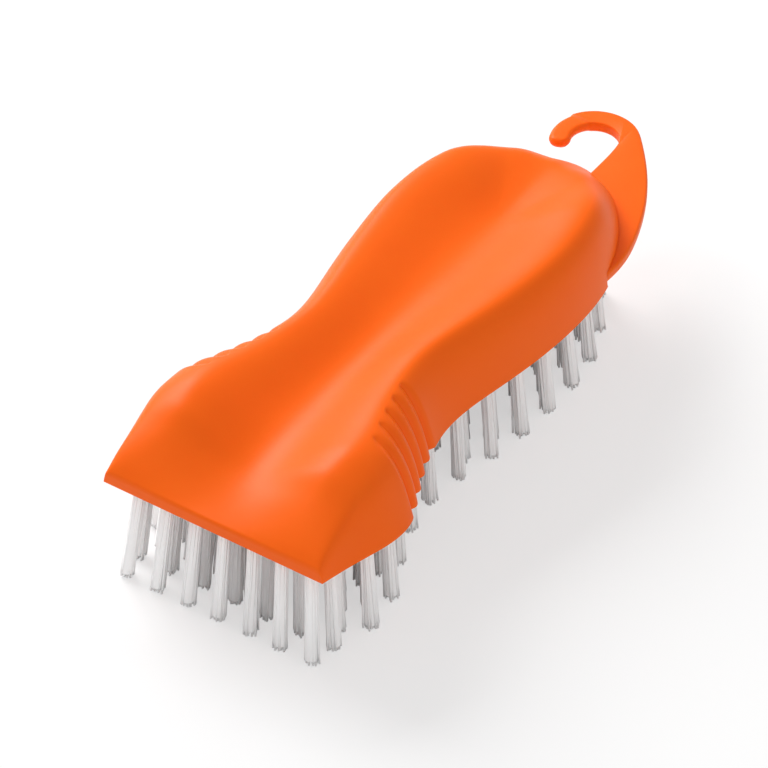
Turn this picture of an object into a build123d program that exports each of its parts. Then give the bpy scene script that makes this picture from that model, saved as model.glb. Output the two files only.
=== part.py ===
from build123d import *
import os

# Palm scrubbing brush: a moulded saddle-shaped handle shell, a bristle block with an integral
# hanging hook pressed into it from below, and staggered rows of bristle tufts.
# Millimetres, +X towards the hook, +Z up, the origin on the floor under the middle of the length.

# Handle shell, seen from above
shell_length = 166.6
lip_width = 64.0
flare_width = 75.7
waist_width = 51.8
heel_width = 62.0

# Handle shell, seen from the side; the rim is its lower edge
rim_height = 29.5
lip_thickness = 3.4
crest_height = 19.3
trough_height = 12.8
shoulder_height = 18.0
shell_wall = 2.4

# How far the crest and the shoulder lie inside the rim at most
crest_inset = 16.0
shoulder_inset = 5.2

# Finger grooves at the flare, between the ribs
groove_count = 5
groove_first = 33.2
groove_pitch = 5.0
groove_width = 3.4
groove_depth = 1.0

# Bristle block, pressed into the shell from below
block_clearance = 0.3
block_recess = 0.3
block_thickness = 5.0
slice_thickness = 0.8
peg_diameter = 4.0
peg_length = 2.4
peg_clearance = 0.2
peg_first = 36.0
peg_pitch = 32.0
peg_count = 4
boss_wall = 1.8
web_thickness = 1.8

# Hanging hook, one piece with the block
hook_thickness = 3.0
hook_rod_width = 5.7
hook_eye_radius = 6.4
hook_eye_x = 174.8
hook_eye_y = 3.1
hook_root_x = 130.0
hook_root_y = 29.0
hook_round = 1.0
hook_tip_angle = 112
hook_bow_angle = -24

# Bristle tufts
row_first = 6.0
row_pitch = 5.45
row_count = 28
rows_per_slice = 2
tuft_pitch = 8.2
tuft_margin = 8.8
tuft_radius = 1.05
tuft_tip_radius = 1.35
strand_side = 1.3
strands_per_tuft = 3
front_lean = 5.5

# Cuts run past the faces that they open by this much
overrun = 1.0

# Tufts splay outwards from the middle by these shares of their distance to it
side_splay_share = 0.17
end_splay_share = 0.04
splay_centre_share = 0.465

# Points of the half rim seen from above: how far along the shell, and how far on the way from
# one width to the next
lip_to_flare_shares = ((0, 0), (0.07, 0.50), (0.148, 1))
flare_to_waist_shares = ((0.175, 0.03), (0.213, 0.23), (0.27, 0.60), (0.37, 1))
waist_to_heel_shares = ((0.50, 0.42), (0.685, 1))
heel_to_tail_shares = ((0.78, 0.055), (0.86, 0.21), (0.92, 0.41), (0.965, 0.64), (0.99, 0.85), (1, 1))
lip_slope_share = 0.22

# Stations round the half rim, from the lip's corner to the tail, as shares of its length, and
# there the shares of the crest's and the shoulder's inset and height
station_shares = (0, 0.03, 0.07, 0.15, 0.21, 0.35, 0.55, 0.66, 0.77, 0.90, 1)
crest_inset_shares = (0.08, 0.47, 0.67, 0.93, 0.80, 0.58, 0.56, 0.52, 0.50, 0.68, 0.99)
crest_height_shares = (0, 0.40, 0.73, 0.96, 0.94, 0.90, 0.92, 0.97, 1, 0.77, 0.68)
shoulder_inset_shares = (0.02, 0.14, 0.52, 0.85, 0.40, 0.65, 0.55, 0.37, 0.25, 0.58, 1)
shoulder_height_shares = (0, 0.62, 0.79, 0.93, 0.88, 0.76, 0.91, 1, 1, 0.51, 0.19)

# Places along the length, and the trough's height there between the lip and the dish
trough_place_shares = (0, 0.07, 0.20, 0.37, 0.60, 0.84, 1)
trough_height_shares = (0, 0.40, 0.80, 0.93, 1, 1, 1)

# The middle line keeps abreast of the rim to this share of it, then closes up to the dish's end
dish_start_share = 0.5
dish_end_x = 140.0

# Points of the hook's bow between its root and its eye, as shares of its reach and of its root's
# distance to the middle line, and its slope at the root
bow_shares = ((0.15, 0), (0.43, 0.10), (0.805, 0.365), (1.14, 0.745))
bow_slope_share = -0.06

# Steps of the grid that carries the saddle surface, how closely the surface follows it, and the
# weights that keep its stretch, bend and change of bend low
steps_along = 24
steps_up = 5
steps_across = 5
surface_tolerance = 0.001
surface_weights = (1, 1, 1)
surface_degree = 5

# Points of a groove on the wall, and the steps of the search along the rim
groove_points = 5
halvings = 30

# Overall length, from the tips of the front tufts to the back of the hook
front_reach = front_lean + tuft_tip_radius + strand_side / 2 - row_first
hook_back = hook_eye_x + hook_eye_radius + hook_rod_width
lip_x = front_reach - (front_reach + hook_back) / 2

# Heights of the block's faces
slice_z = rim_height + block_recess
block_z = slice_z + slice_thickness
block_top = block_z + block_thickness
hook_top = block_z + hook_thickness


def rim_curve():
    """Half rim seen from above, from the lip's corner round the flare and waist to the tail."""
    widths = (lip_width, flare_width, waist_width, heel_width, 0)
    stretches = (lip_to_flare_shares, flare_to_waist_shares, waist_to_heel_shares, heel_to_tail_shares)
    points = [
        Vector(lip_x + along * shell_length, (start + (end - start) * share) / 2)
        for start, end, shares in zip(widths, widths[1:], stretches)
        for along, share in shares
    ]
    return Edge.make_spline(points, tangents=[Vector(1, lip_slope_share), Vector(0, -1)])


rim = rim_curve()


def rim_place(x):
    """Share of the rim's length at which it reaches a distance along X, by halving."""
    low = 0
    high = 1
    for _ in range(halvings):
        middle = (low + high) / 2
        if rim.position_at(middle).X < x:
            low = middle
        else:
            high = middle
    return low


def smooth_value(places, values, place):
    """Value on a smooth curve through places and values, with no overshoot and level at its end."""
    last = len(places) - 1
    slopes = [(values[i + 1] - values[i]) / (places[i + 1] - places[i]) for i in range(last)]
    lean = [slopes[0]]
    for before, after in zip(slopes, slopes[1:]):
        lean.append(0 if before * after <= 0 else 2 * before * after / (before + after))
    lean.append(0)
    i = max(k for k in range(last) if places[k] <= place)
    span = places[i + 1] - places[i]
    t = (place - places[i]) / span
    start = (1 + 2 * t) * (1 - t) ** 2 * values[i] + t * (1 - t) ** 2 * span * lean[i]
    end = t * t * (3 - 2 * t) * values[i + 1] + t * t * (t - 1) * span * lean[i + 1]
    return start + end


def at_station(shares, place, least, most):
    """Size at a place on the rim, between its least and most by the stations' shares."""
    return least + (most - least) * smooth_value(station_shares, shares, place)


def trough_floor(x):
    """Height of the trough's middle line above the rim."""
    place = (x - lip_x) / shell_length
    share = smooth_value(trough_place_shares, trough_height_shares, place)
    return lip_thickness + (trough_height - lip_thickness) * share


def middle_point(place):
    """Point of the middle line that the section at a place on the rim runs to."""
    past = max(0, place - dish_start_share)
    rest = 1 - dish_start_share
    start = rim.position_at(place - past).X
    bend = (start + rim.length * rest - lip_x - dish_end_x) / rest ** 2
    return Vector(start + rim.length * past - bend * past ** 2, 0)


def wall_point(place, rise, gap):
    """Point of the outer wall, from the rim at rise 0 to the crest at 1, drawn in by a gap."""
    foot = rim.position_at(place)
    inward = (middle_point(place) - foot).normalized()
    crest_in = at_station(crest_inset_shares, place, 0, crest_inset)
    crest_up = at_station(crest_height_shares, place, lip_thickness, crest_height)
    shoulder_in = at_station(shoulder_inset_shares, place, 0, shoulder_inset)
    shoulder_up = at_station(shoulder_height_shares, place, lip_thickness, shoulder_height)
    near = (1 - rise) ** 2
    middle = 2 * rise * (1 - rise)
    far = rise ** 2
    spot = foot + inward * (near * gap + middle * (shoulder_in + gap) + far * crest_in)
    up = middle * (shoulder_up - gap) + far * (crest_up - gap)
    return Vector(spot.X, spot.Y, rim_height + up)


def saddle_point(place, across, gap):
    """Point of the trough, from the crest at across 0 to the middle line at 1."""
    crest = wall_point(place, 1, gap)
    middle = middle_point(place)
    middle_up = rim_height + trough_floor(middle.X) - gap
    ease = (1 - across) ** 2 * (1 + 2 * across)
    spot = crest + (middle - crest) * across
    return Vector(spot.X, spot.Y, middle_up + (crest.Z - middle_up) * ease)


def saddle_solid(gap):
    """Solid between the rim plane and the saddle surface, drawn in by a gap."""
    rows = []
    for i in range(steps_along + 1):
        place = i / steps_along
        up = [wall_point(place, j / steps_up, gap) for j in range(steps_up)]
        over = [saddle_point(place, j / steps_across, gap) for j in range(steps_across + 1)]
        rows.append(up + over)
    left = Face.make_surface_from_array_of_points(
        rows, tol=surface_tolerance, smoothing=surface_weights, max_deg=surface_degree
    )
    right = left.mirror(Plane.XZ)
    edges = left.edges() + right.edges()
    feet = edges.group_by(Axis.Z)[0]
    fronts = edges.group_by(Axis.X)[0]
    corners = (left.vertices() + right.vertices()).group_by(Axis.Z)[0].group_by(Axis.X)[0]
    sill = Edge.make_line(*corners)
    return Solid(Shell([left, right, Face(Wire(feet + [sill])), Face(Wire(fronts + [sill]))]))


def inner_solid(gap):
    """Saddle solid drawn in by the shell's wall and a gap, cut back behind the lip."""
    with BuildPart() as inner:
        add(saddle_solid(shell_wall + gap))
        split(bisect_by=Plane.YZ.offset(lip_x + shell_wall + gap), keep=Keep.TOP)
    return inner.part


def groove_line(x):
    """Line of a groove: the wall's own section at a distance along X, running out over the crest."""
    place = rim_place(x)
    rise = [wall_point(place, j / groove_points, 0) for j in range(groove_points + 1)]
    rise[0] = rise[0] - Vector(0, 0, overrun)
    rise[-1] = rise[-1] + Vector(0, 0, groove_depth + overrun)
    return Edge.make_spline(rise)


def hook_outline(gap):
    """Outline of the hook seen from above, drawn out by a gap: a crescent that narrows to a rod."""
    eye = Vector(lip_x + hook_eye_x, hook_eye_y)
    inner_radius = hook_eye_radius - gap
    outer_radius = hook_eye_radius + hook_rod_width + gap
    root = Vector(lip_x + hook_root_x - gap, -hook_root_y - gap)
    reach = hook_eye_x - hook_root_x
    bow = [root + Vector(along * reach, across * hook_root_y) for along, across in bow_shares]
    bow_end = eye + Vector(outer_radius, 0).rotate(Axis.Z, hook_bow_angle)
    bow_way = Vector(0, 1).rotate(Axis.Z, hook_bow_angle)
    tip = eye + Vector((inner_radius + outer_radius) / 2, 0).rotate(Axis.Z, hook_tip_angle)
    throat = eye - Vector(0, inner_radius)
    inside = Vector(root.X, throat.Y)
    with BuildLine() as outline:
        Spline([root] + bow + [bow_end], tangents=[Vector(1, bow_slope_share), bow_way])
        CenterArc(eye, outer_radius, hook_bow_angle, hook_tip_angle - hook_bow_angle)
        CenterArc(tip, (outer_radius - inner_radius) / 2, hook_tip_angle, 180)
        CenterArc(eye, inner_radius, hook_tip_angle, -90 - hook_tip_angle)
        Polyline(throat, inside, root)
    return outline.wire()


def tuft_row(index):
    """Roots and tips of one row of tufts; every second row is half a pitch aside and one short."""
    x = row_first + index * row_pitch
    reach = rim.position_at(rim_place(lip_x + x)).Y - tuft_margin
    count = round(2 * reach / tuft_pitch) + 1
    step = 2 * reach / (count - 1)
    if index % 2 == 0 and index > 0:
        count = count - 1
    lean = end_splay_share * (x - splay_centre_share * shell_length)
    if index == 0:
        lean = -front_lean
    tufts = []
    for i in range(count):
        y = (i - (count - 1) / 2) * step
        root = Vector(lip_x + x, y, slice_z)
        tip = Vector(lip_x + x + lean, y * (1 + side_splay_share), 0)
        tufts.append((root, tip))
    return tufts


def tuft_strands(root, tip):
    """Square strands of one tuft, round its middle, parting slightly towards the tips."""
    made = []
    for i in range(strands_per_tuft):
        side = Vector(-1, 0).rotate(Axis.Z, 360 * i / strands_per_tuft)
        start = root + side * tuft_radius + Vector(0, 0, slice_thickness / 2)
        end = tip + side * tuft_tip_radius
        with BuildPart() as strand:
            with BuildSketch(Plane(origin=start, x_dir=side)):
                Rectangle(strand_side, strand_side)
            with BuildSketch(Plane(origin=end, x_dir=side)):
                Rectangle(strand_side, strand_side)
            loft(ruled=True)
        made.append(strand.part)
    return made


outer_form = saddle_solid(0)
hollow_form = inner_solid(0)
block_form = inner_solid(block_clearance)
slot_outline = hook_outline(block_clearance)
plate_outline = hook_outline(0)
pegs = [(lip_x + peg_first + i * peg_pitch, 0) for i in range(peg_count)]

# Room under the saddle, round the webs and bosses that stand on the block, with the bosses' bores
with BuildPart() as hollow:
    add(hollow_form)
    with BuildSketch(Plane.XY.offset(block_top)):
        with Locations(pegs):
            Circle(peg_diameter / 2 + peg_clearance + boss_wall)
            Rectangle(web_thickness, flare_width)
    extrude(amount=crest_height, mode=Mode.SUBTRACT)
    with BuildSketch(Plane.XY.offset(block_top)):
        with Locations(pegs):
            Circle(peg_diameter / 2 + peg_clearance)
    extrude(amount=peg_length + peg_clearance)

# Finger grooves, as bars with a V below, sunk in both walls
with BuildPart() as grooves:
    for i in range(groove_count):
        line = groove_line(lip_x + groove_first + i * groove_pitch)
        with BuildSketch(Plane(origin=line @ 0, x_dir=(1, 0, 0), z_dir=line % 0)):
            Polygon((0, -groove_depth), (groove_width, groove_depth), (-groove_width, groove_depth), align=None)
        sweep(path=line)
    mirror(about=Plane.XZ)

# Handle shell, with the slot that the hook leaves it through
with BuildPart() as handle_shell:
    add(outer_form)
    add(hollow.part, mode=Mode.SUBTRACT)
    add(grooves.part, mode=Mode.SUBTRACT)
    with BuildSketch(Plane.XY.offset(rim_height - overrun)):
        make_face(slot_outline)
    extrude(amount=overrun + hook_top + block_clearance - rim_height, mode=Mode.SUBTRACT)

# Hanging hook: a flat plate within the shell, a rounded rod outside it
with BuildPart() as hook:
    with BuildSketch(Plane.XY.offset(block_z)):
        make_face(plate_outline)
    extrude(amount=hook_thickness)
    rims = hook.faces().filter_by(Axis.Z).edges()
    fillet(rims.filter_by_position(Axis.X, lip_x + shell_length, lip_x + hook_back), hook_round)

# Bristle block: a plate that follows the shell's inner wall, with the pegs and the hook
with BuildPart() as bristle_block:
    add(block_form)
    split(bisect_by=Plane.XY.offset(block_z), keep=Keep.TOP)
    split(bisect_by=Plane.XY.offset(block_top), keep=Keep.BOTTOM)
    with BuildSketch(Plane.XY.offset(block_top)):
        with Locations(pegs):
            Circle(peg_diameter / 2)
    extrude(amount=peg_length)
    add(hook.part)

# Lowest layer of the block, which holds the tufts' roots
with BuildPart() as backing:
    add(block_form)
    split(bisect_by=Plane.XY.offset(slice_z), keep=Keep.TOP)
    split(bisect_by=Plane.XY.offset(block_z), keep=Keep.BOTTOM)

os.makedirs("parts", exist_ok=True)

handle_shell.part.label = "handle_shell"
export_step(handle_shell.part, "parts/handle_shell.step")

bristle_block.part.label = "bristle_block"
export_step(bristle_block.part, "parts/bristle_block.step")

# Each slice of the lowest layer is one piece with its rows of tufts
strand_count = 0
slice_count = row_count // rows_per_slice
for number in range(slice_count):
    rows = [tuft_row(number * rows_per_slice + i) for i in range(rows_per_slice)]
    strands = [strand for row in rows for root, tip in row for strand in tuft_strands(root, tip)]
    strand_count = strand_count + len(strands)
    front = lip_x + row_first + (number * rows_per_slice - 1 / 2) * row_pitch
    with BuildPart() as tufts:
        add(backing.part)
        if number > 0:
            split(bisect_by=Plane.YZ.offset(front), keep=Keep.TOP)
        if number < slice_count - 1:
            split(bisect_by=Plane.YZ.offset(front + rows_per_slice * row_pitch), keep=Keep.BOTTOM)
        add(strands)
    tufts.part.label = f"tufts_{number + 1:02d}"
    export_step(tufts.part, f"parts/{tufts.part.label}.step")
print("strands", strand_count)
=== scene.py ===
"""Palm scrubbing brush: the visible surfaces, their finishes and the studio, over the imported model."""
import math

import bmesh
import bpy
import numpy as np
from bpy.props import FloatProperty, FloatVectorProperty, IntProperty, PointerProperty
from mathutils import Matrix, Vector


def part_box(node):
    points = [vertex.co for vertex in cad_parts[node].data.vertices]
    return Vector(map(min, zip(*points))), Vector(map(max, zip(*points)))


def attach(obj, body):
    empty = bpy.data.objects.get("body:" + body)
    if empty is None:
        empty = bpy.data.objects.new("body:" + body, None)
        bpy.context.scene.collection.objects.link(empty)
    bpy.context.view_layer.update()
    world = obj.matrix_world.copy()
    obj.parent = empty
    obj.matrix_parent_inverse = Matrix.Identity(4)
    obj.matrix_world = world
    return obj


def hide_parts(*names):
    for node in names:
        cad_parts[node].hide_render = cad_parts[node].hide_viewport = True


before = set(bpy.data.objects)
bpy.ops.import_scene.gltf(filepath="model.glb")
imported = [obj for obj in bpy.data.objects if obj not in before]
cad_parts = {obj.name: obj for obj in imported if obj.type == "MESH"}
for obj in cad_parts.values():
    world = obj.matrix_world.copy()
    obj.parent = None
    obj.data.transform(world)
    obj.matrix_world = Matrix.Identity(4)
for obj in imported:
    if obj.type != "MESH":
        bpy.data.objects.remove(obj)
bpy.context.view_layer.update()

bl_info = {
    "name": "Palm Brush",
    "version": (1, 0, 0),
    "blender": (4, 5, 0),
    "location": "View3D > Sidebar > Palm Brush",
    "description": "Builds the surfaces of a palm scrubbing brush over its packed model",
    "category": "Object",
}

shell_low, shell_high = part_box("handle_shell")
tuft_nodes = sorted(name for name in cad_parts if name.startswith("tufts_"))
MM = 0.001
MERGE_DISTANCE = 0.001 * MM

# Points of the half rim seen from above: how far along the shell, and how far on the way from
# one width to the next
LIP_TO_FLARE_SHARES = ((0, 0), (0.07, 0.50), (0.148, 1))
FLARE_TO_WAIST_SHARES = ((0.175, 0.03), (0.213, 0.23), (0.27, 0.60), (0.37, 1))
WAIST_TO_HEEL_SHARES = ((0.50, 0.42), (0.685, 1))
HEEL_TO_TAIL_SHARES = ((0.78, 0.055), (0.86, 0.21), (0.92, 0.41), (0.965, 0.64), (0.99, 0.85), (1, 1))
LIP_SLOPE_SHARE = 0.22

# Stations round the half rim, as shares of its length, and there the shares of the crest's and
# the shoulder's inset and height, and how sharply the wall bends at the shoulder
STATION_SHARES = (0, 0.012, 0.03, 0.07, 0.107, 0.15, 0.21, 0.35, 0.55, 0.66, 0.77, 0.90, 1)
CREST_INSET_SHARES = (0.08, 0.25, 0.44, 0.70, 0.86, 0.88, 0.78, 0.58, 0.56, 0.52, 0.50, 0.68, 0.99)
CREST_HEIGHT_SHARES = (0, 0.14, 0.30, 0.61, 0.86, 0.96, 0.94, 0.90, 0.92, 0.97, 1, 0.77, 0.68)
SHOULDER_INSET_SHARES = (0.02, 0.14, 0.28, 0.58, 0.80, 0.88, 0.42, 0.52, 0.44, 0.30, 0.20, 0.46, 0.80)
SHOULDER_HEIGHT_SHARES = (0, 0.15, 0.31, 0.55, 0.72, 0.81, 0.88, 0.76, 0.91, 1, 1, 0.51, 0.19)
SHOULDER_BENDS = (1, 2.0, 3.0, 3.5, 3.5, 2.5, 1, 1, 1, 1, 1, 1, 1)

# Places along the shell, and the trough's height there between the lip and the dish
TROUGH_PLACE_SHARES = (0, 0.07, 0.20, 0.37, 0.60, 0.84, 1)
TROUGH_HEIGHT_SHARES = (0, 0.40, 0.80, 0.93, 1, 1, 1)

# Where the middle line stops keeping abreast of the rim, and where it ends
DISH_START_SHARE = 0.44
DISH_END_SHARE = 0.745

# Points of the hook's bow between its root and its eye, as shares of its reach and of its root's
# distance to the middle line, its slope at the root, and the angles in degrees where it meets
# the eye's round, where the tip ends and where the plate turns into the rod
BOW_SHARES = ((0, 0), (0.15, 0), (0.43, 0.10), (0.805, 0.365), (1.14, 0.745))
BOW_SLOPE_SHARE = -0.06
BOW_ANGLE = -24
TIP_ANGLE = 112
ROD_ANGLE = 62

# Rows and columns of the shell's grid, how many times more rows lie over the ribs and in the
# first share of the rim, how the columns crowd at the rim, and how often they are softened
ROWS_ALONG = 250
COLUMNS_UP = 30
COLUMNS_OVER = 40
FRONT_ROWS = 6
MORE_OVER_RIBS = 2.6
MORE_IN_FRONT = 3.0
FRONT_SHARE = 0.012
CROWDING = 1.15
SOFTENINGS = 14
RIM_SAMPLES = 4001

# Share of the wall's rise over which the ribs run out below the crest
RIB_FADE_SHARE = 0.16

# Rows and columns of the bristle block's grid
BLOCK_ROWS = 320
BLOCK_COLUMNS = 121

# Samples along each edge of the hook, round its tip and on a quarter of its section, those that
# lie within the slot's cutter, and the angle in degrees that the plate's turn into the rod takes
HOOK_SAMPLES = 60
TIP_SAMPLES = 17
QUARTER_SAMPLES = 8
SLOT_SAMPLES = 150
STEP_ANGLE = 4

# How the tufts splay along the brush, as a share of their distance to a place on it, and aside
END_SPLAY_SHARE = 0.04
SPLAY_CENTRE_SHARE = 0.465
SIDE_SPLAY = 1.11

# Places of the rings along a filament and along a tuft's core, and their corners
STRAND_PLACES = (0, 0.3, 0.62, 0.86, 1.0)
STRAND_SIDES = 5
CORE_PLACES = (0, 0.5, 1.0)
CORE_SIDES = 12
CORE_INSET = 1.2
SPREAD_POWER = 1.5
GOLDEN_ANGLE = 137.508


def length(name, description, millimetres):
    """Length property with its default in millimetres."""
    return FloatProperty(name=name, description=description, default=millimetres * MM, unit="LENGTH")


class ShellSizes(bpy.types.PropertyGroup):
    """Sizes of the handle shell."""

    lip_width: length("Lip width", "Width of the straight front edge", 64.0)
    flare_width: length("Flare width", "Width over the cheeks", 75.7)
    waist_width: length("Waist width", "Width where the fingers close round", 51.8)
    heel_width: length("Heel width", "Width under the palm", 62.0)
    lip_thickness: length("Lip thickness", "Height of the front edge", 3.4)
    crest_height: length("Crest height", "Height of the side crests over the rim", 19.3)
    trough_height: length("Trough height", "Height of the dish over the rim", 12.8)
    shoulder_height: length("Shoulder height", "Height of the walls' shoulder over the rim", 18.0)
    crest_inset: length("Crest inset", "Most that a crest lies inside the rim", 16.0)
    shoulder_inset: length("Shoulder inset", "Most that a shoulder lies inside the rim", 6.5)
    wall: length("Wall", "Thickness of the moulding", 2.4)
    edge_round: length("Edge round", "Rounding of the front edge", 0.6)
    rib_first: length("First rib groove", "Distance of the first groove from the lip", 33.2)
    rib_pitch: length("Rib pitch", "Distance from groove to groove", 5.0)
    rib_depth: length("Rib depth", "Depth of the grooves between the ribs", 1.5)
    rib_count: IntProperty(name="Rib grooves", description="Grooves between the ribs", default=5)


class HookSizes(bpy.types.PropertyGroup):
    """Sizes of the bristle block and its hanging hook."""

    clearance: length("Clearance", "Gap between the block and the shell", 0.3)
    recess: length("Recess", "Height of the block's face over the rim", 0.3)
    thickness: length("Hook thickness", "Thickness of the hook's plate and rod", 3.0)
    hook_z: length("Hook height", "Height of the hook's lower face", 30.6)
    eye_x: length("Eye place", "Distance of the eye's centre from the lip", 174.79)
    eye_y: length("Eye side", "Distance of the eye's centre from the middle line", 3.1)
    eye_radius: length("Eye radius", "Inner radius of the hook", 6.4)
    rod_width: length("Rod width", "Width of the hook's rod", 5.7)
    root_x: length("Root place", "Distance of the hook's root from the lip", 130.0)
    root_y: length("Root side", "Distance of the hook's root from the middle line", 29.0)
    throat_x: length("Throat place", "Distance of the throat's hidden end from the lip", 150.0)
    rounding: length("Rounding", "Rounding of the plate's edges", 0.9)
    rod_rounding: length("Rod rounding", "Rounding of the rod's edges", 1.4)
    rod_step: length("Rod step", "How much lower the rod's top lies than the plate's", 0.25)
    hole_radius: length("Hole radius", "Radius of the holes that hold the tufts", 2.05)
    hole_depth: length("Hole depth", "Depth of the holes' countersink", 0.5)
    hole_rim: length("Hole rim", "How far the countersink reaches past a hole", 0.35)
    hole_slope: length("Hole slope", "Width of the countersink's slope", 0.5)
    face_thickness: length("Face thickness", "Thickness of the block's face", 2.0)


class TuftSizes(bpy.types.PropertyGroup):
    """Sizes of the bristle tufts."""

    row_first: length("First row", "Distance of the first row from the lip", 6.0)
    row_pitch: length("Row pitch", "Distance from row to row", 5.45)
    tuft_pitch: length("Tuft pitch", "Distance from tuft to tuft in a row", 8.2)
    margin: length("Margin", "Distance of the outermost tufts from the rim", 8.8)
    front_lean: length("Front lean", "How far the front row's tips lean forwards", 4.2)
    root_radius: length("Root radius", "Radius of a tuft at its root", 1.75)
    tip_radius: length("Tip radius", "Radius of a tuft at its tip", 2.0)
    strand_radius: length("Filament radius", "Radius of one filament", 0.26)
    unevenness: length("Unevenness", "How much the cut ends differ in height", 0.9)
    stray: length("Stray", "How far filaments stray from their place at the tip", 0.30)
    embedding: length("Embedding", "How deep the filaments stand in the block", 1.0)
    core_gap: length("Core gap", "How much higher than the shortest filament the core ends", 0.6)
    rows: IntProperty(name="Rows", description="Rows of tufts", default=28)
    strands: IntProperty(name="Filaments", description="Filaments in a tuft", default=46)
    seed: IntProperty(name="Seed", description="Seed of the filaments' scatter", default=7)


class Finishes(bpy.types.PropertyGroup):
    """Colours and gloss of the materials."""

    plastic: FloatVectorProperty(
        name="Plastic", description="Colour of the moulded plastic", subtype="COLOR",
        default=(1.0, 0.133, 0.003),
    )
    plastic_roughness: FloatProperty(
        name="Plastic roughness", description="Roughness of the moulded plastic", default=0.42
    )
    plastic_ior: FloatProperty(
        name="Plastic IOR", description="Index of refraction of the plastic", default=1.49
    )
    plastic_specular: FloatProperty(
        name="Plastic specular", description="Specular level of the plastic", default=0.15
    )
    plastic_depth: FloatProperty(
        name="Plastic depth", description="Weight of the light that scatters in the plastic", default=0.12
    )
    filament: FloatVectorProperty(
        name="Filament", description="Colour of the filaments", subtype="COLOR",
        default=(0.99, 0.99, 0.99),
    )
    filament_roughness: FloatProperty(
        name="Filament roughness", description="Roughness of the filaments", default=0.30
    )
    filament_ior: FloatProperty(
        name="Filament IOR", description="Index of refraction of the filaments", default=1.50
    )
    floor: FloatVectorProperty(
        name="Floor", description="Colour of the floor", subtype="COLOR", default=(0.92, 0.92, 0.92)
    )
    floor_white: FloatProperty(
        name="Floor white", description="Share of plain white in the floor as it is seen", default=0.55
    )


class StageSettings(bpy.types.PropertyGroup):
    """Camera and lights."""

    azimuth: FloatProperty(
        name="Azimuth", description="Direction of the camera round the brush", subtype="ANGLE",
        default=math.radians(-55.80),
    )
    elevation: FloatProperty(
        name="Elevation", description="Height of the camera over the horizon", subtype="ANGLE",
        default=math.radians(40.945),
    )
    distance: length("Distance", "Distance of the camera", 1233.85)
    aim_x: length("Aim along", "Place on the long axis that the camera aims at", -14.7)
    aim_z: length("Aim height", "Height that the camera aims at", 35.0)
    offset_right: length("Offset right", "How far the aim stands right of the frame's middle", 2.8876)
    offset_up: length("Offset up", "How far the aim stands over the frame's middle", 11.175)
    sensor: FloatProperty(name="Sensor", description="Sensor width in millimetres", default=36.0)
    lens: FloatProperty(name="Lens", description="Focal length in millimetres", default=234.375)
    lamp_aim: length("Lamp aim", "Height over the floor's middle that the lamps point at", 30.0)
    floor_reach: length("Floor reach", "Half the width of the floor", 4000.0)
    clip_start: length("Clip start", "Nearest distance that the camera sees", 50.0)
    clip_end: length("Clip end", "Farthest distance that the camera sees", 20000.0)
    key_place: FloatVectorProperty(
        name="Key place", description="Place of the key light", subtype="TRANSLATION",
        default=(0.37, 1.10, 0.95),
    )
    key_size: FloatVectorProperty(
        name="Key size", description="Width and height of the key light", size=2, unit="LENGTH",
        default=(1.0, 0.8),
    )
    key_power: FloatProperty(name="Key power", description="Power of the key light", default=23.0)
    fill_place: FloatVectorProperty(
        name="Fill place", description="Place of the fill light", subtype="TRANSLATION",
        default=(-0.55, -1.20, 0.45),
    )
    fill_size: FloatVectorProperty(
        name="Fill size", description="Width and height of the fill light", size=2, unit="LENGTH",
        default=(1.2, 0.7),
    )
    fill_power: FloatProperty(name="Fill power", description="Power of the fill light", default=2.0)
    world_strength: FloatProperty(name="World", description="Strength of the surroundings", default=0.55)


def smooth_value(places, values, at):
    """Monotone cubic through places and values: slopes are harmonic means, and the last one is 0."""
    places = np.asarray(places, float)
    values = np.asarray(values, float)
    slopes = np.diff(values) / np.diff(places)
    product = slopes[:-1] * slopes[1:]
    total = slopes[:-1] + slopes[1:]
    inner = np.where(product > 0, 2 * product / np.where(total == 0, 1, total), 0)
    lean = np.concatenate([slopes[:1], inner, [0]])
    i = np.clip(np.searchsorted(places, at, side="right") - 1, 0, len(slopes) - 1)
    span = places[i + 1] - places[i]
    t = (at - places[i]) / span
    start = (1 + 2 * t) * (1 - t) ** 2 * values[i] + t * (1 - t) ** 2 * span * lean[i]
    return start + t * t * (3 - 2 * t) * values[i + 1] + t * t * (t - 1) * span * lean[i + 1]


def clamped_spline(points, first_way, last_way, samples):
    """Cubic spline through points, with chord lengths as its knots and unit slopes at both ends.

    The slopes m solve m[i-1] / h[i-1] + 2 m[i] (1 / h[i-1] + 1 / h[i]) + m[i+1] / h[i]
    = 3 (d[i-1] / h[i-1] + d[i] / h[i]), d being the chords' slopes.
    """
    points = np.asarray(points, float)
    h = np.linalg.norm(np.diff(points, axis=0), axis=1)
    knots = np.concatenate([[0], np.cumsum(h)])
    chords = np.diff(points, axis=0) / h[:, None]
    count = len(points)
    matrix = np.eye(count)
    right = np.zeros_like(points)
    inner = np.arange(1, count - 1)
    matrix[inner, inner - 1] = 1 / h[:-1]
    matrix[inner, inner] = 2 * (1 / h[:-1] + 1 / h[1:])
    matrix[inner, inner + 1] = 1 / h[1:]
    right[inner] = 3 * (chords[:-1] / h[:-1, None] + chords[1:] / h[1:, None])
    right[0] = np.asarray(first_way) / np.linalg.norm(first_way)
    right[-1] = np.asarray(last_way) / np.linalg.norm(last_way)
    slopes = np.linalg.solve(matrix, right)
    at = np.linspace(0, knots[-1], samples)
    i = np.clip(np.searchsorted(knots, at, side="right") - 1, 0, count - 2)
    t = ((at - knots[i]) / h[i])[:, None]
    span = h[i][:, None]
    start = (1 + 2 * t) * (1 - t) ** 2 * points[i] + t * (1 - t) ** 2 * span * slopes[i]
    return start + t * t * (3 - 2 * t) * points[i + 1] + t * t * (t - 1) * span * slopes[i + 1]


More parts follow.
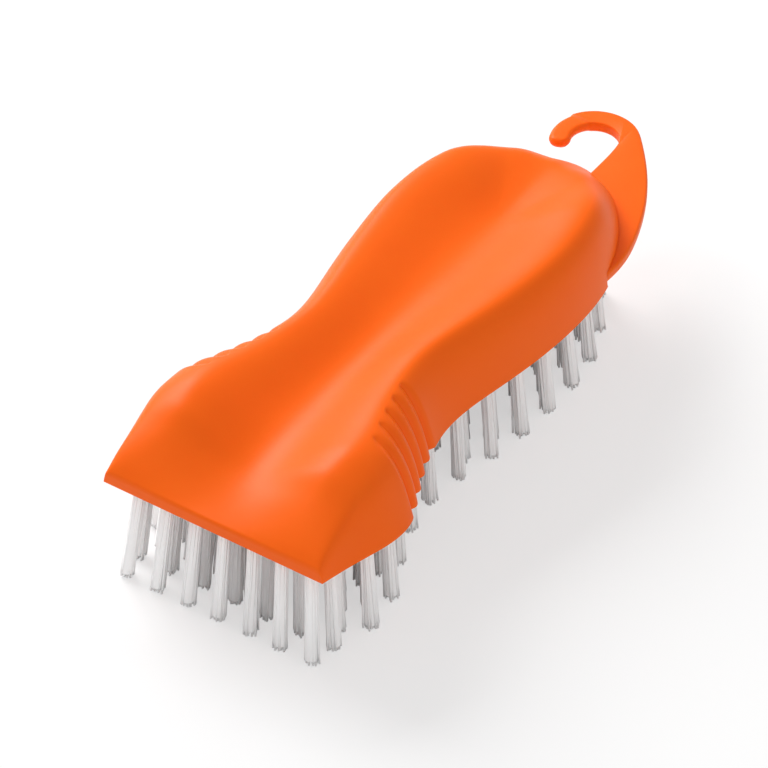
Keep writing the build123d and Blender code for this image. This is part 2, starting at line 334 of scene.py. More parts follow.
class Rim:
    """The half rim seen from above, looked up by the share of its length."""

    def __init__(self, sizes):
        widths = (sizes.lip_width, sizes.flare_width, sizes.waist_width, sizes.heel_width, 0)
        stretches = (
            LIP_TO_FLARE_SHARES, FLARE_TO_WAIST_SHARES, WAIST_TO_HEEL_SHARES, HEEL_TO_TAIL_SHARES
        )
        self.length_x = shell_high.x - shell_low.x
        points = [
            (shell_low.x + along * self.length_x, (start + (end - start) * share) / 2)
            for start, end, shares in zip(widths, widths[1:], stretches)
            for along, share in shares
        ]
        self.line = clamped_spline(points, (1, LIP_SLOPE_SHARE), (0, -1), RIM_SAMPLES)
        steps = np.linalg.norm(np.diff(self.line, axis=0), axis=1)
        self.travel = np.concatenate([[0], np.cumsum(steps)])
        self.length = self.travel[-1]

    def at(self, place):
        """Points at shares of the rim's length, as x and y."""
        travel = np.asarray(place) * self.length
        x = np.interp(travel, self.travel, self.line[:, 0])
        return x, np.interp(travel, self.travel, self.line[:, 1])

    def place_at(self, x):
        """Shares of the rim's length at which it reaches distances along X."""
        return np.interp(x, self.line[:, 0], self.travel) / self.length

    def middle_x(self, place):
        """Where the middle line is that the section at a place runs to."""
        past = np.maximum(0, place - DISH_START_SHARE)
        rest = 1 - DISH_START_SHARE
        start = self.at(place - past)[0]
        turn = self.at(DISH_START_SHARE)[0]
        dish_end = shell_low.x + DISH_END_SHARE * self.length_x
        bend = (turn + self.length * rest - dish_end) / rest ** 2
        return start + self.length * past - bend * past ** 2


def section_points(sizes, rim, place, rise, gap):
    """Wall points: a rational quadratic curve from the rim over the shoulder to the crest, drawn in by
    a gap. The shoulder's weight is the bend.
    """
    foot_x, foot_y = rim.at(place)
    way_x = rim.middle_x(place) - foot_x
    way_y = -foot_y
    size = np.hypot(way_x, way_y)
    span_c = sizes.crest_height - sizes.lip_thickness
    span_s = sizes.shoulder_height - sizes.lip_thickness
    crest_in = sizes.crest_inset * smooth_value(STATION_SHARES, CREST_INSET_SHARES, place)
    crest_up = sizes.lip_thickness + span_c * smooth_value(STATION_SHARES, CREST_HEIGHT_SHARES, place)
    shoulder_in = sizes.shoulder_inset * smooth_value(STATION_SHARES, SHOULDER_INSET_SHARES, place)
    shoulder_up = sizes.lip_thickness + span_s * smooth_value(STATION_SHARES, SHOULDER_HEIGHT_SHARES, place)
    near = (1 - rise) ** 2
    middle = 2 * rise * (1 - rise) * smooth_value(STATION_SHARES, SHOULDER_BENDS, place)
    far = rise ** 2
    total = near + middle + far
    near, middle, far = near / total, middle / total, far / total
    inward = near * gap + middle * (shoulder_in + gap) + far * crest_in
    up = middle * (shoulder_up - gap) + far * (crest_up - gap)
    x = foot_x + way_x / size * inward
    return np.stack([x, foot_y + way_y / size * inward, shell_low.z + up], axis=-1)


def trough_points(sizes, rim, place, across, gap):
    """Trough points: from the crest down to the middle line, falling as (1 - a)^2 (1 + 2 a)."""
    crest = section_points(sizes, rim, place, np.ones_like(place), gap)
    middle_x = rim.middle_x(place)
    share = smooth_value(
        TROUGH_PLACE_SHARES, TROUGH_HEIGHT_SHARES, (middle_x - shell_low.x) / rim.length_x
    )
    floor = sizes.lip_thickness + (sizes.trough_height - sizes.lip_thickness) * share
    middle_z = shell_low.z + floor - gap
    ease = (1 - across) ** 2 * (1 + 2 * across)
    x = crest[..., 0] + (middle_x - crest[..., 0]) * across
    y = crest[..., 1] * (1 - across)
    return np.stack([x, y, middle_z + (crest[..., 2] - middle_z) * ease], axis=-1)


def softened(grid, times):
    """Grid with each column averaged with its neighbours, again and again; the middle line mirrors."""
    for _ in range(times):
        beyond = grid[:, -2:-1] * np.array([1, -1, 1])
        right = np.concatenate([grid[:, 1:], beyond], axis=1)
        left = np.concatenate([grid[:, :1], grid[:, :-1]], axis=1)
        mixed = (left + 2 * grid + right) / 4
        mixed[:, 0] = grid[:, 0]
        mixed[:, -1, 1] = 0
        grid = mixed
    return grid


def rib_depth(sizes, rim, place):
    """Depth of the wall between the ribs: sine lobes one pitch wide that meet in sharp grooves."""
    x = rim.at(place)[0] - shell_low.x
    turn = (x - sizes.rib_first) / sizes.rib_pitch
    nearest = np.clip(np.round(turn), 0, sizes.rib_count - 1)
    off = np.clip(np.abs(turn - nearest), 0, 0.5)
    return sizes.rib_depth * (1 - np.sin(np.pi * off))


def shell_rows(rim, sizes):
    """Shares of the rim's length for the grid's rows: even, with more over the ribs and in front."""
    first = rim.place_at(shell_low.x + sizes.rib_first - sizes.rib_pitch)
    last = rim.place_at(shell_low.x + sizes.rib_first + sizes.rib_count * sizes.rib_pitch)
    fine = np.linspace(0, 1, RIM_SAMPLES)
    over_ribs = (fine > first) & (fine < last)
    weight = 1 + MORE_OVER_RIBS * over_ribs + MORE_IN_FRONT * (fine < FRONT_SHARE)
    travel = np.concatenate([[0], np.cumsum((weight[1:] + weight[:-1]) / 2)])
    return np.interp(np.linspace(0, travel[-1], ROWS_ALONG), travel, fine)


def half_shell(sizes, rim, gap):
    """Half of the shell's outer or inner surface: rows along the rim, columns from it to the middle.

    The outer one is sunk between the ribs by their depth times a smooth step, and its front edge
    drops by r - sqrt(r^2 - (r - b)^2) at a distance b behind the lip.
    """
    place = shell_rows(rim, sizes)[:, None]
    rise = np.linspace(0, 1, COLUMNS_UP + 1)[None, :-1] ** CROWDING
    across = np.linspace(0, 1, COLUMNS_OVER + 1)[None, :]
    wall = section_points(sizes, rim, place + 0 * rise, rise + 0 * place, gap)
    over = trough_points(sizes, rim, place + 0 * across, across + 0 * place, gap)
    grid = softened(np.concatenate([wall, over], axis=1), SOFTENINGS)
    front = shell_low.x + gap
    if gap == 0:
        depth = rib_depth(sizes, rim, place[:, 0])[:, None]
        up = np.concatenate([rise[0], np.ones(COLUMNS_OVER + 1)])[None, :]
        fade = np.clip((1 - up) / RIB_FADE_SHARE, 0, 1)
        fade = fade * fade * (3 - 2 * fade)
        grid[..., 1] -= depth * fade
        radius = sizes.edge_round
        back = np.clip(grid[..., 0] - front, 0, radius)
        drop = radius - np.sqrt(np.maximum(0, radius ** 2 - (radius - back) ** 2))
        room = np.clip((grid[..., 2] - shell_low.z) / (2 * radius), 0, 1)
        grid[..., 2] -= drop * room
    grid[..., 0] = np.maximum(grid[..., 0], front)
    share = np.linspace(0, 1, FRONT_ROWS + 1)[:-1, None]
    front_face = np.repeat(grid[:1], FRONT_ROWS, axis=0)
    front_face[..., 2] = shell_low.z + (grid[:1, :, 2] - shell_low.z) * share
    return np.concatenate([front_face, grid], axis=0)


def grid_faces(rows, columns, offset=0):
    """Quads of a grid of rows and columns, by vertex number."""
    i, j = np.meshgrid(np.arange(rows - 1), np.arange(columns - 1), indexing="ij")
    a = offset + i * columns + j
    return np.stack([a, a + 1, a + columns + 1, a + columns], axis=-1).reshape(-1, 4)


def new_piece(name, points, faces, material, sharp_degrees=40):
    """Mesh object from arrays: equal points merged, loose edges deleted, faces turned outwards, and
    shaded smooth but for sharp edges.
    """
    mesh = bpy.data.meshes.new(name)
    mesh.from_pydata(points.reshape(-1, 3), [], faces.tolist())
    work = bmesh.new()
    work.from_mesh(mesh)
    bmesh.ops.remove_doubles(work, verts=work.verts, dist=MERGE_DISTANCE)
    bmesh.ops.dissolve_degenerate(work, dist=MERGE_DISTANCE, edges=work.edges)
    loose = [edge for edge in work.edges if not edge.link_faces]
    bmesh.ops.delete(work, geom=loose, context="EDGES")
    bmesh.ops.recalc_face_normals(work, faces=work.faces)
    work.to_mesh(mesh)
    work.free()
    mesh.polygons.foreach_set("use_smooth", np.ones(len(mesh.polygons), bool))
    mesh.set_sharp_from_angle(angle=math.radians(sharp_degrees))
    mesh.materials.append(material)
    piece = bpy.data.objects.new(name, mesh)
    bpy.context.scene.collection.objects.link(piece)
    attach(piece, "root")
    return piece


def ring_faces(outer, inner):
    """Quads between two loops of vertex numbers."""
    return np.stack([outer[:-1], outer[1:], inner[1:], inner[:-1]], axis=-1)


def build_shell(sizes, material):
    """Closed moulding: the outer and inner surfaces, each mirrored, joined by the rim's flat face."""
    rim = Rim(sizes)
    grids = [half_shell(sizes, rim, 0), half_shell(sizes, rim, sizes.wall)]
    rows, columns = grids[0].shape[:2]
    size = rows * columns
    points = []
    faces = []
    for side in (1, -1):
        first = len(points) * size
        outer_edge = np.concatenate([np.arange(columns)[::-1], np.arange(1, rows) * columns])
        for grid in grids:
            faces.append(grid_faces(rows, columns, len(points) * size))
            points.append(grid * np.array([1, side, 1]))
        faces.append(ring_faces(first + outer_edge, first + size + outer_edge))
    return new_piece("palm_shell", np.stack(points), np.concatenate(faces), material)


def tuft_places(sizes, shell_sizes):
    """Roots and tips of each row's tufts; every second row is half a pitch aside and one short."""
    rim = Rim(shell_sizes)
    root_z = shell_low.z + bpy.context.scene.palm_hook.recess
    rows = []
    for index in range(sizes.rows):
        x = sizes.row_first + index * sizes.row_pitch
        reach = rim.at(rim.place_at(shell_low.x + x))[1] - sizes.margin
        count = round(2 * reach / sizes.tuft_pitch) + 1
        step = 2 * reach / (count - 1)
        if index % 2 == 0 and index > 0:
            count = count - 1
        lean = END_SPLAY_SHARE * (x - SPLAY_CENTRE_SHARE * rim.length_x)
        if index == 0:
            lean = -sizes.front_lean
        y = (np.arange(count) - (count - 1) / 2) * step
        ones = np.ones(count)
        roots = np.stack([(shell_low.x + x) * ones, y, root_z * ones], axis=-1)
        tips = np.stack([(shell_low.x + x + lean) * ones, y * SIDE_SPLAY, 0 * ones], axis=-1)
        rows.append((roots, tips))
    return rows


def circle(sides):
    """Corners of a regular polygon of radius 1, level."""
    corner = np.arange(sides) * 2 * math.pi / sides
    return np.stack([np.cos(corner), np.sin(corner), 0 * corner], axis=-1)


def tube_faces(tubes, rings, sides, first):
    """Faces of closed tubes whose vertices are numbered from the first one ring by ring: the quads
    round them, and one list with the faces at both ends.
    """
    start = first + np.arange(tubes)[:, None, None] * rings * sides
    ring = np.arange(rings - 1)[None, :, None] * sides
    a = np.arange(sides)[None, None, :]
    b = (a + 1) % sides
    low = start + ring
    high = low + sides
    quads = np.stack([low + a, low + b, high + b, high + a], axis=-1).reshape(-1, 4)
    caps = start[:, 0] + np.arange(sides)
    return quads.tolist(), caps[:, ::-1].tolist() + (caps + (rings - 1) * sides).tolist()


def tuft_spread(sizes, t):
    """Radius of a tuft at shares of its length: from the root's to the tip's as t to a power."""
    return sizes.root_radius + (sizes.tip_radius - sizes.root_radius) * t ** SPREAD_POWER


def tuft_cores(sizes, roots, tips):
    """Cone inside each tuft, where the filaments lie so close that they look like one body: circles
    a little narrower than the tuft round the line from its root to just above its tip.
    """
    t = np.array(CORE_PLACES)[None, :, None, None]
    root = roots[:, None, None] + np.array([0, 0, sizes.embedding])
    tip = tips[:, None, None] + np.array([0, 0, sizes.unevenness + sizes.core_gap])
    radius = tuft_spread(sizes, t) - sizes.strand_radius * CORE_INSET
    return root + (tip - root) * t + circle(CORE_SIDES) * radius


def tuft_filaments(sizes, roots, tips, random):
    """Filaments of each tuft, placed in it as the seeds of a sunflower: number k of n stands at the
    square root of (k + 1/2) / n of the radius, a golden angle further than the one before. Each
    parts with the tuft and strays as t squared.
    """
    tufts = len(roots)
    k = np.arange(sizes.strands)
    reach = np.sqrt((k + 0.5) / sizes.strands)
    turn = k * math.radians(GOLDEN_ANGLE) + random.uniform(0, 2 * math.pi, (tufts, 1))
    side = np.stack([np.cos(turn), np.sin(turn), 0 * turn], axis=-1) * reach[None, :, None]
    stray = random.normal(0, sizes.stray, (tufts, sizes.strands, 3)) * np.array([1, 1, 0])
    short = random.uniform(0, sizes.unevenness, (tufts, sizes.strands))
    t = np.array(STRAND_PLACES)[None, None, :, None]
    root = roots[:, None, None] + np.array([0, 0, sizes.embedding])
    tip = tips[:, None, None] + np.array([0, 0, 1]) * short[..., None, None]
    centre = root + (tip - root) * t + side[:, :, None] * (tuft_spread(sizes, t) - sizes.strand_radius)
    centre = centre + stray[:, :, None] * t ** 2
    return centre[:, :, :, None, :] + circle(STRAND_SIDES) * sizes.strand_radius


def build_tufts(sizes, rows, node, number, material):
    """One node's tufts: filaments and cores in one mesh, with a random shade for each filament."""
    random = np.random.default_rng(sizes.seed + number)
    roots = np.concatenate([roots for roots, _ in rows])
    tips = np.concatenate([tips for _, tips in rows])
    strands = len(roots) * sizes.strands
    points = tuft_filaments(sizes, roots, tips, random).reshape(-1, 3)
    quads, caps = tube_faces(strands, len(STRAND_PLACES), STRAND_SIDES, 0)
    cores = tuft_cores(sizes, roots, tips).reshape(-1, 3)
    core_quads, core_caps = tube_faces(len(roots), len(CORE_PLACES), CORE_SIDES, len(points))
    mesh = bpy.data.meshes.new(f"filaments_{number + 1:02d}")
    faces = quads + caps + core_quads + core_caps
    mesh.from_pydata(np.concatenate([points, cores]), [], faces)
    shades = np.repeat(random.uniform(0, 1, strands), len(points) // strands)
    shade = mesh.attributes.new("shade", "FLOAT", "POINT")
    shade.data.foreach_set("value", np.concatenate([shades, np.ones(len(cores))]))
    mesh.polygons.foreach_set("use_smooth", np.arange(len(faces)) < len(quads))
    mesh.materials.append(material)
    piece = bpy.data.objects.new(mesh.name, mesh)
    bpy.context.scene.collection.objects.link(piece)
    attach(piece, "root")
    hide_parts(node)
    return piece


def build_block(sizes, shell_sizes, rows, material):
    """Bristle block: a slab inside the rim whose lower face dips round each tuft by a smooth step."""
    rim = Rim(shell_sizes)
    gap = shell_sizes.wall + sizes.clearance
    place = np.linspace(0, 1, BLOCK_ROWS)[:, None]
    foot = section_points(shell_sizes, rim, place, np.zeros_like(place), gap)[:, 0]
    foot[:, 0] = np.maximum(foot[:, 0], shell_low.x + gap)
    across = np.linspace(1, -1, BLOCK_COLUMNS)[None, :]
    x = foot[:, :1] + 0 * across
    y = foot[:, 1:2] * across
    low = shell_low.z + sizes.recess
    tufts = np.concatenate([roots for roots, _ in rows])[:, :2]
    apart = np.hypot(x[..., None] - tufts[:, 0], y[..., None] - tufts[:, 1]).min(axis=-1)
    dip = np.clip((sizes.hole_radius + sizes.hole_rim - apart) / sizes.hole_slope, 0, 1)
    under = np.stack([x, y, low + sizes.hole_depth * dip * dip * (3 - 2 * dip)], axis=-1)
    over = np.stack([x, y, low + 0 * x + sizes.face_thickness], axis=-1)
    count, columns = x.shape
    edge = np.concatenate([
        np.arange(columns), np.arange(1, count) * columns + columns - 1,
        (count - 1) * columns + np.arange(columns)[-2::-1], np.arange(count - 1)[::-1] * columns,
    ])
    size = count * columns
    faces = [grid_faces(count, columns), grid_faces(count, columns, size), ring_faces(edge, edge + size)]
    return new_piece("bristle_face", np.stack([under, over]), np.concatenate(faces), material)


def hook_edges(sizes, samples):
    """Edges of the hook seen from above, bow and throat and then two arcs, and where it is a rod."""
    eye = np.array([shell_low.x + sizes.eye_x, sizes.eye_y])
    outer = sizes.eye_radius + sizes.rod_width
    bow_angle = math.radians(BOW_ANGLE)
    root = np.array([shell_low.x + sizes.root_x, -sizes.root_y])
    reach = sizes.eye_x - sizes.root_x
    bow = root + np.array(BOW_SHARES) * np.array([reach, sizes.root_y])
    bow = np.vstack([bow, eye + outer * np.array([math.cos(bow_angle), math.sin(bow_angle)])])
    way = (-math.sin(bow_angle), math.cos(bow_angle))
    bow = clamped_spline(bow, (1, BOW_SLOPE_SHARE), way, samples)
    near = np.linspace(0, 1, samples)[:, None]
    throat_x = shell_low.x + sizes.throat_x
    inner = np.hstack([throat_x + (eye[0] - throat_x) * near, eye[1] - sizes.eye_radius + 0 * near])
    turn = np.linspace(0, 1, 2 * samples)[1:, None]
    angle_out = bow_angle + (math.radians(TIP_ANGLE) - bow_angle) * turn
    angle_in = math.radians(-90) + math.radians(TIP_ANGLE + 90) * turn
    arc_out = eye + outer * np.hstack([np.cos(angle_out), np.sin(angle_out)])
    arc_in = eye + sizes.eye_radius * np.hstack([np.cos(angle_in), np.sin(angle_in)])
    rod = np.clip((angle_out - math.radians(ROD_ANGLE)) / math.radians(STEP_ANGLE), 0, 1)
    return np.vstack([bow, arc_out]), np.vstack([inner, arc_in]), np.vstack([0 * near, rod])


def rounded_section(half_width, low, high, radius):
    """Rounded rectangles, one a row: four quarters of a circle set out from the middle."""
    quarter = np.linspace(0, math.pi / 2, QUARTER_SAMPLES)
    corner = np.concatenate([quarter + k * math.pi / 2 for k in range(4)])
    side = np.repeat([1, -1, -1, 1], QUARTER_SAMPLES)
    level = np.repeat([1, 1, -1, -1], QUARTER_SAMPLES)
    radius_u = np.minimum(radius, half_width)
    radius_v = np.minimum(radius, (high - low) / 2)
    u = side * (half_width - radius_u) + radius_u * np.cos(corner)
    v = (high + low) / 2 + level * ((high - low) / 2 - radius_v) + radius_v * np.sin(corner)
    return u, v


def ribbon(middle, side, u, z):
    """Closed tube of sections along a middle line, u to the side and z up, with both ends filled."""
    u = np.concatenate([0 * u[:1], u, 0 * u[-1:]])
    z = np.concatenate([0 * z[:1] + z[:1].mean(), z, 0 * z[-1:] + z[-1:].mean()])
    middle = np.concatenate([middle[:1], middle, middle[-1:]])
    side = np.concatenate([side[:1], side, side[-1:]])
    points = np.stack([middle[:, :1] + side[:, :1] * u, middle[:, 1:] + side[:, 1:] * u, z], axis=-1)
    return np.concatenate([points, points[:, :1]], axis=1)


def hook_path(sizes):
    """Middle line of the hook with its round tip, and along it the way to its side, the half width,
    how much of it is a rod, and how much thinner it is above and below towards the tip.
    """
    outer, inner, rod = hook_edges(sizes, HOOK_SAMPLES)
    middle = (outer + inner) / 2
    half = (outer - inner) / 2
    width = np.linalg.norm(half, axis=1)[:, None]
    side = half / width
    way = np.array([-side[-1, 1], side[-1, 0]])
    cap = np.linspace(0, math.pi / 2, TIP_SAMPLES + 1)[1:, None]
    deep = np.clip(1 - width[-1] * (1 - np.sin(cap)) / sizes.rod_rounding, 0, 1)
    thinned = np.vstack([0 * width, sizes.rod_rounding * (1 - np.sqrt(1 - deep ** 2))])
    middle = np.vstack([middle, middle[-1] + way * width[-1] * np.sin(cap)])
    side = np.vstack([side, np.repeat(side[-1:], len(cap), axis=0)])
    width = np.vstack([width, width[-1] * np.cos(cap)])
    return middle, side, width, np.vstack([rod, np.ones_like(cap)]), thinned


def build_hook(sizes, material):
    """Hook: a plate with rounded edges that turns into a rounder rod at a small step."""
    middle, side, width, rod, thinned = hook_path(sizes)
    low = sizes.hook_z + thinned
    top = sizes.hook_z + sizes.thickness - sizes.rod_step * rod - thinned
    radius = sizes.rounding + (sizes.rod_rounding - sizes.rounding) * rod
    u, z = rounded_section(width, low, top, radius)
    points = ribbon(middle, side, u, z)
    faces = grid_faces(*points.shape[:2])
    return new_piece("hanging_hook", points, faces, material, sharp_degrees=50)


def cut_slot(shell, sizes):
    """Slot in the shell round the hook, open to the rim, cut by the hook's own form and a clearance."""
    middle, side, width = hook_path(sizes)[:3]
    low = shell_low.z - sizes.clearance + 0 * width
    high = sizes.hook_z + sizes.thickness + sizes.clearance + 0 * width
    u = np.array([1, -1, -1, 1]) * (width + sizes.clearance)
    z = np.where(np.array([1, 1, 0, 0]), high, low)
    points = ribbon(*(grid[:SLOT_SAMPLES] for grid in (middle, side, u, z)))
    faces = grid_faces(*points.shape[:2])
    cutter = new_piece("slot_cutter", points, faces, shell.data.materials[0])
    cut = shell.modifiers.new("slot", "BOOLEAN")
    cut.operation = "DIFFERENCE"
    cut.solver = "EXACT"
    cut.object = cutter
    depsgraph = bpy.context.evaluated_depsgraph_get()
    mesh = bpy.data.meshes.new_from_object(shell.evaluated_get(depsgraph))
    if len(mesh.polygons) < len(shell.data.polygons) / 2:
        raise RuntimeError("the slot's cut left no shell")
    shell.modifiers.remove(cut)
    shell.data = mesh
    bpy.data.objects.remove(cutter)


def new_material(name):
    """Material with nodes, and its principled shader."""
    material = bpy.data.materials.new(name)
    material.use_nodes = True
    return material, material.node_tree, material.node_tree.nodes["Principled BSDF"]


def add_noise(tree, scale, detail):
    """Noise over the object's own coordinates."""
    place = tree.nodes.new("ShaderNodeTexCoord")
    noise = tree.nodes.new("ShaderNodeTexNoise")
    noise.inputs["Scale"].default_value = scale
    noise.inputs["Detail"].default_value = detail
    tree.links.new(place.outputs["Object"], noise.inputs["Vector"])
    return noise.outputs["Fac"]


def add_bump(tree, height, strength, distance):
    """Bump from a height."""
    bump = tree.nodes.new("ShaderNodeBump")
    bump.inputs["Strength"].default_value = strength
    bump.inputs["Distance"].default_value = distance
    tree.links.new(height, bump.inputs["Height"])
    return bump


def add_tint(tree, shader, share, dark, light):
    """Base colour between a dark and a light one, by a share."""
    tint = tree.nodes.new("ShaderNodeMix")
    tint.data_type = "RGBA"
    tint.inputs["A"].default_value = (*dark, 1)
    tint.inputs["B"].default_value = (*light, 1)
    tree.links.new(share, tint.inputs["Factor"])
    tree.links.new(tint.outputs["Result"], shader.inputs["Base Color"])


def plastic_material():
    """Satin moulded plastic: a faint cloudiness in the colour, and a fine bump with long soft waves."""
    if "moulded_plastic" in bpy.data.materials:
        return bpy.data.materials["moulded_plastic"]
    finish = bpy.context.scene.palm_finish
    material, tree, shader = new_material("moulded_plastic")
    colour = np.array(finish.plastic)
    dark = colour * np.array([0.98, 0.94, 0.9])
    light = np.minimum(colour * np.array([1.0, 1.07, 1.1]), 1)
    add_tint(tree, shader, add_noise(tree, scale=45.0, detail=3.0), dark, light)
    waves = add_noise(tree, scale=95.0, detail=1.0)
    grain = add_noise(tree, scale=1400.0, detail=4.0)
    soft = add_bump(tree, waves, strength=0.12, distance=1.0 * MM)
    fine = add_bump(tree, grain, strength=0.10, distance=0.2 * MM)
    tree.links.new(soft.outputs["Normal"], fine.inputs["Normal"])
    tree.links.new(fine.outputs["Normal"], shader.inputs["Normal"])
    shader.inputs["Roughness"].default_value = finish.plastic_roughness
    shader.inputs["IOR"].default_value = finish.plastic_ior
    shader.inputs["Specular IOR Level"].default_value = finish.plastic_specular
    shader.inputs["Subsurface Weight"].default_value = finish.plastic_depth
    shader.inputs["Subsurface Radius"].default_value = (1.0, 0.25, 0.08)
    shader.inputs["Subsurface Scale"].default_value = 2.0 * MM
    return material


def filament_material():
    """White filament, each a little lighter or darker than the next."""
    if "white_filament" in bpy.data.materials:
        return bpy.data.materials["white_filament"]
    finish = bpy.context.scene.palm_finish
    material, tree, shader = new_material("white_filament")
    shade = tree.nodes.new("ShaderNodeAttribute")
    shade.attribute_name = "shade"
    colour = np.array(finish.filament)
    add_tint(tree, shader, shade.outputs["Fac"], colour * 0.95, np.minimum(colour * 1.06, 1))
    shader.inputs["Roughness"].default_value = finish.filament_roughness
    shader.inputs["IOR"].default_value = finish.filament_ior
    return material


def floor_material():
    """Pale floor; seen directly or in gloss it is part lit, part plain white, so its shadow is soft."""
    finish = bpy.context.scene.palm_finish
    material, tree, shader = new_material("pale_floor")
    shader.inputs["Base Color"].default_value = (*finish.floor, 1)
    shader.inputs["Roughness"].default_value = 0.9
    shader.inputs["Specular IOR Level"].default_value = 0.1
    ray = tree.nodes.new("ShaderNodeLightPath")
    either = tree.nodes.new("ShaderNodeMath")
    either.operation = "MAXIMUM"
    seen = tree.nodes.new("ShaderNodeMath")
    seen.operation = "MAXIMUM"
    white = tree.nodes.new("ShaderNodeEmission")
    white.inputs["Color"].default_value = (1, 1, 1, 1)
    part = tree.nodes.new("ShaderNodeMath")
    part.operation = "MULTIPLY"
    part.inputs[1].default_value = finish.floor_white
    blend = tree.nodes.new("ShaderNodeMixShader")
    link = tree.links.new
    link(ray.outputs["Is Camera Ray"], either.inputs[0])
    link(ray.outputs["Is Glossy Ray"], either.inputs[1])
    link(either.outputs["Value"], seen.inputs[0])
    link(ray.outputs["Is Transmission Ray"], seen.inputs[1])
    link(seen.outputs["Value"], part.inputs[0])
    link(part.outputs["Value"], blend.inputs["Fac"])
    link(shader.outputs["BSDF"], blend.inputs[1])
    link(white.outputs["Emission"], blend.inputs[2])
    link(blend.outputs["Shader"], tree.nodes["Material Output"].inputs["Surface"])
    return material


def add_lamp(name, place, size, power, aim_z):
    """Soft rectangular lamp that points at a place over the floor's middle."""
    data = bpy.data.lights.new(name, "AREA")
    data.shape = "RECTANGLE"
    data.size, data.size_y = size
    data.energy = power
    lamp = bpy.data.objects.new(name, data)
    lamp.location = place
    aim = Vector((0, 0, aim_z)) - lamp.location
    lamp.rotation_euler = aim.to_track_quat("-Z", "Y").to_euler()
    bpy.context.scene.collection.objects.link(lamp)


class PALMBRUSH_OT_shell(bpy.types.Operator):
    """Build the handle shell's surface"""

    bl_idname = "palmbrush.shell"
    bl_label = "Handle shell"

    def execute(self, context):
        piece = build_shell(context.scene.palm_shell, plastic_material())
        cut_slot(piece, context.scene.palm_hook)
        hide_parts("handle_shell")
        return {"FINISHED"}


class PALMBRUSH_OT_block(bpy.types.Operator):
    """Build the bristle block's face and the hanging hook"""

    bl_idname = "palmbrush.block"
    bl_label = "Bristle block and hook"

    def execute(self, context):
        scene = context.scene
        rows = tuft_places(scene.palm_tufts, scene.palm_shell)
        face = build_block(scene.palm_hook, scene.palm_shell, rows, plastic_material())
        hook = build_hook(scene.palm_hook, plastic_material())
        for piece in (face, hook):
            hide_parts("bristle_block")
        return {"FINISHED"}


class PALMBRUSH_OT_tufts(bpy.types.Operator):
    """Build the tufts' filaments, one piece for each pair of rows"""

    bl_idname = "palmbrush.tufts"
    bl_label = "Bristle tufts"

    def execute(self, context):
        scene = context.scene
        rows = tuft_places(scene.palm_tufts, scene.palm_shell)
        per_node = len(rows) // len(tuft_nodes)
        if per_node * len(tuft_nodes) != len(rows):
            raise RuntimeError("the rows of tufts don't divide evenly among the packed nodes")
        for number, node in enumerate(tuft_nodes):
            part = rows[number * per_node:(number + 1) * per_node]
            build_tufts(scene.palm_tufts, part, node, number, filament_material())
        return {"FINISHED"}


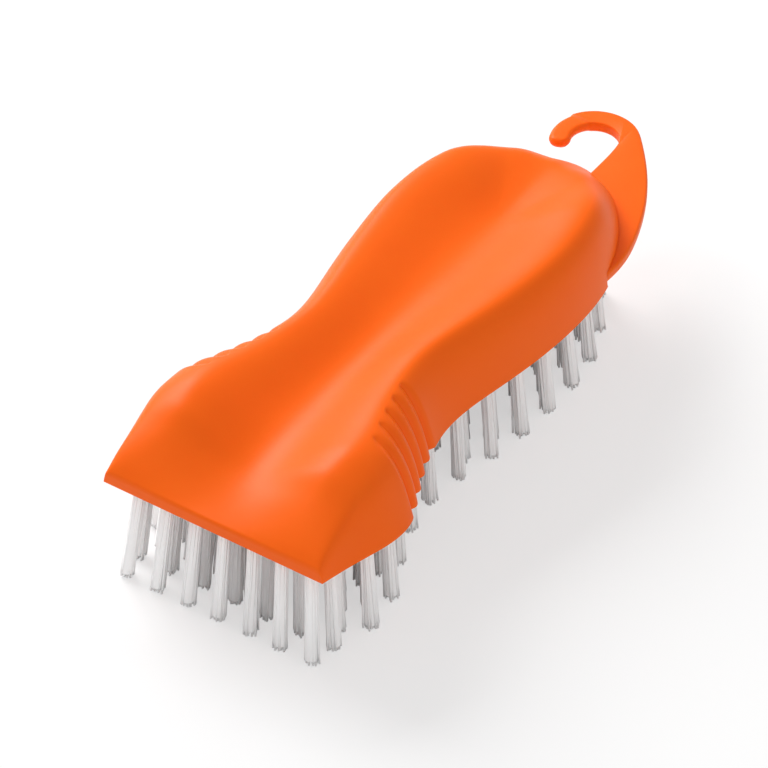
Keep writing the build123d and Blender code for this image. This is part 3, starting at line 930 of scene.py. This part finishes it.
class PALMBRUSH_OT_stage(bpy.types.Operator):
    """Set up the floor, the camera and the lights"""

    bl_idname = "palmbrush.stage"
    bl_label = "Stage"

    def execute(self, context):
        scene = context.scene
        stage = scene.palm_stage
        floor_mesh = bpy.data.meshes.new("studio_floor")
        reach = stage.floor_reach
        corners = [(-reach, -reach, 0), (reach, -reach, 0), (reach, reach, 0), (-reach, reach, 0)]
        floor_mesh.from_pydata(corners, [], [(0, 1, 2, 3)])
        floor_mesh.materials.append(floor_material())
        floor = bpy.data.objects.new("studio_floor", floor_mesh)
        scene.collection.objects.link(floor)

        a, e = stage.azimuth, stage.elevation
        back = Vector((math.sin(a) * math.cos(e), -math.cos(a) * math.cos(e), math.sin(e)))
        right = Vector((math.cos(a), math.sin(a), 0))
        up = back.cross(right)
        data = bpy.data.cameras.new("studio_camera")
        data.sensor_width = stage.sensor
        data.lens = stage.lens
        data.clip_start = stage.clip_start
        data.clip_end = stage.clip_end
        camera = bpy.data.objects.new("studio_camera", data)
        scene.collection.objects.link(camera)
        aim = Vector((stage.aim_x, 0, stage.aim_z))
        place = aim + back * stage.distance - right * stage.offset_right - up * stage.offset_up
        camera.matrix_world = Matrix((
            (right.x, up.x, back.x, place.x),
            (right.y, up.y, back.y, place.y),
            (right.z, up.z, back.z, place.z),
            (0, 0, 0, 1),
        ))
        scene.camera = camera

        add_lamp("key_light", stage.key_place, stage.key_size, stage.key_power, stage.lamp_aim)
        add_lamp("fill_light", stage.fill_place, stage.fill_size, stage.fill_power, stage.lamp_aim)

        world = bpy.data.worlds.new("studio_world")
        world.use_nodes = True
        scene.world = world
        nodes = world.node_tree.nodes
        nodes["Background"].inputs["Color"].default_value = (1, 1, 1, 1)
        nodes["Background"].inputs["Strength"].default_value = stage.world_strength
        scene.view_settings.view_transform = "Standard"
        return {"FINISHED"}


class PALMBRUSH_PT_panel(bpy.types.Panel):
    """Sizes, finishes and steps of the palm brush"""

    bl_idname = "PALMBRUSH_PT_panel"
    bl_label = "Palm Brush"
    bl_space_type = "VIEW_3D"
    bl_region_type = "UI"
    bl_category = "Palm Brush"

    def draw(self, context):
        layout = self.layout
        for operator in OPERATORS:
            layout.operator(operator.bl_idname)
        for name in SETTINGS:
            box = layout.box()
            settings = getattr(context.scene, name)
            for key in settings.bl_rna.properties.keys():
                if key not in ("rna_type", "name"):
                    box.prop(settings, key)


OPERATORS = (PALMBRUSH_OT_shell, PALMBRUSH_OT_block, PALMBRUSH_OT_tufts, PALMBRUSH_OT_stage)
SETTINGS = {
    "palm_shell": ShellSizes,
    "palm_hook": HookSizes,
    "palm_tufts": TuftSizes,
    "palm_finish": Finishes,
    "palm_stage": StageSettings,
}


def register():
    """Register the settings, the operators and the panel."""
    for group in SETTINGS.values():
        bpy.utils.register_class(group)
    for name, group in SETTINGS.items():
        setattr(bpy.types.Scene, name, PointerProperty(type=group))
    for kind in (*OPERATORS, PALMBRUSH_PT_panel):
        bpy.utils.register_class(kind)


def unregister():
    """Remove what register added."""
    for kind in reversed((*OPERATORS, PALMBRUSH_PT_panel)):
        bpy.utils.unregister_class(kind)
    for name in SETTINGS:
        delattr(bpy.types.Scene, name)
    for group in reversed(list(SETTINGS.values())):
        bpy.utils.unregister_class(group)


def main():
    """Build every piece and the stage."""
    register()
    bpy.ops.palmbrush.shell()
    bpy.ops.palmbrush.block()
    bpy.ops.palmbrush.tufts()
    bpy.ops.palmbrush.stage()


if __name__ == "__main__":
    main()
